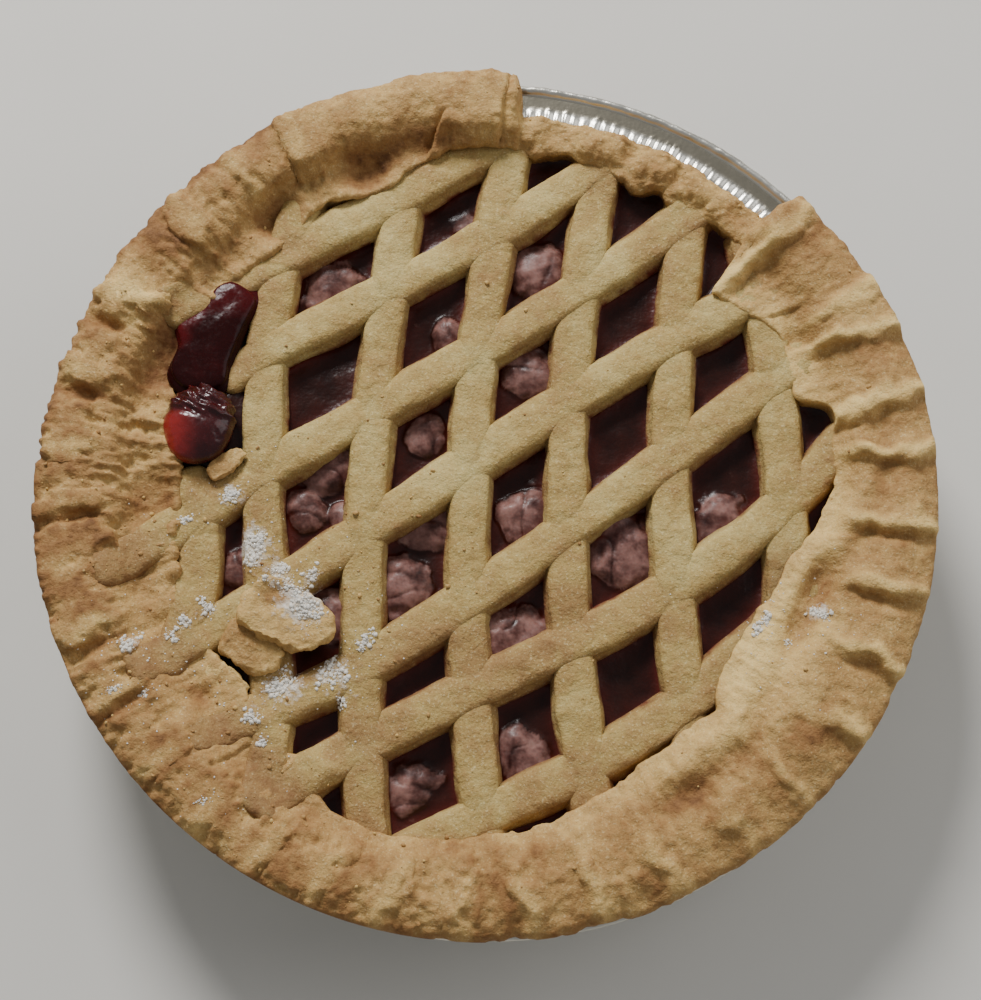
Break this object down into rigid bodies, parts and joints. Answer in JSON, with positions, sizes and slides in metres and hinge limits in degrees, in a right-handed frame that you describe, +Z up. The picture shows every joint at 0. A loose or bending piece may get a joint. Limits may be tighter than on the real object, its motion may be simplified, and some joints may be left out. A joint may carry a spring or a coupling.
{
  "type": "cherry pie",
  "caption": "Round pie in a foil tin, with a folded, pleated rim, an open pastry lattice over dark cherry filling, and jelly boiled over at one side with a whole cherry.",
  "frame": {"origin": "middle of the pie's outline, on the underside of the tin's flat base", "axes": "+Z up out of the lattice; +X to the right and +Y to the back as seen from the front, where the boiled-over jelly is on the left and the bare stretch of foil flange is at the back right"},
  "size_m": [0.2048, 0.2046, 0.0393],
  "materials": {
    "foil": "satin",
    "rim_pastry": "matt, baked golden brown",
    "cherry_filling": "gloss, set jelly with fruit",
    "lattice_pastry": "matt, pale baked pastry",
    "cherry_jelly": "gloss, clear dark red",
    "cherry_skin": "gloss",
    "broken_pastry": "matt"
  },
  "bodies": {
    "root": {"foil_tin": "foil", "crust": "rim_pastry", "filling": "cherry_filling", "lattice": "lattice_pastry", "jelly_spill": "cherry_jelly", "cherry": "cherry_skin", "pastry_scrap": "broken_pastry"}
  },
  "joints": []
}
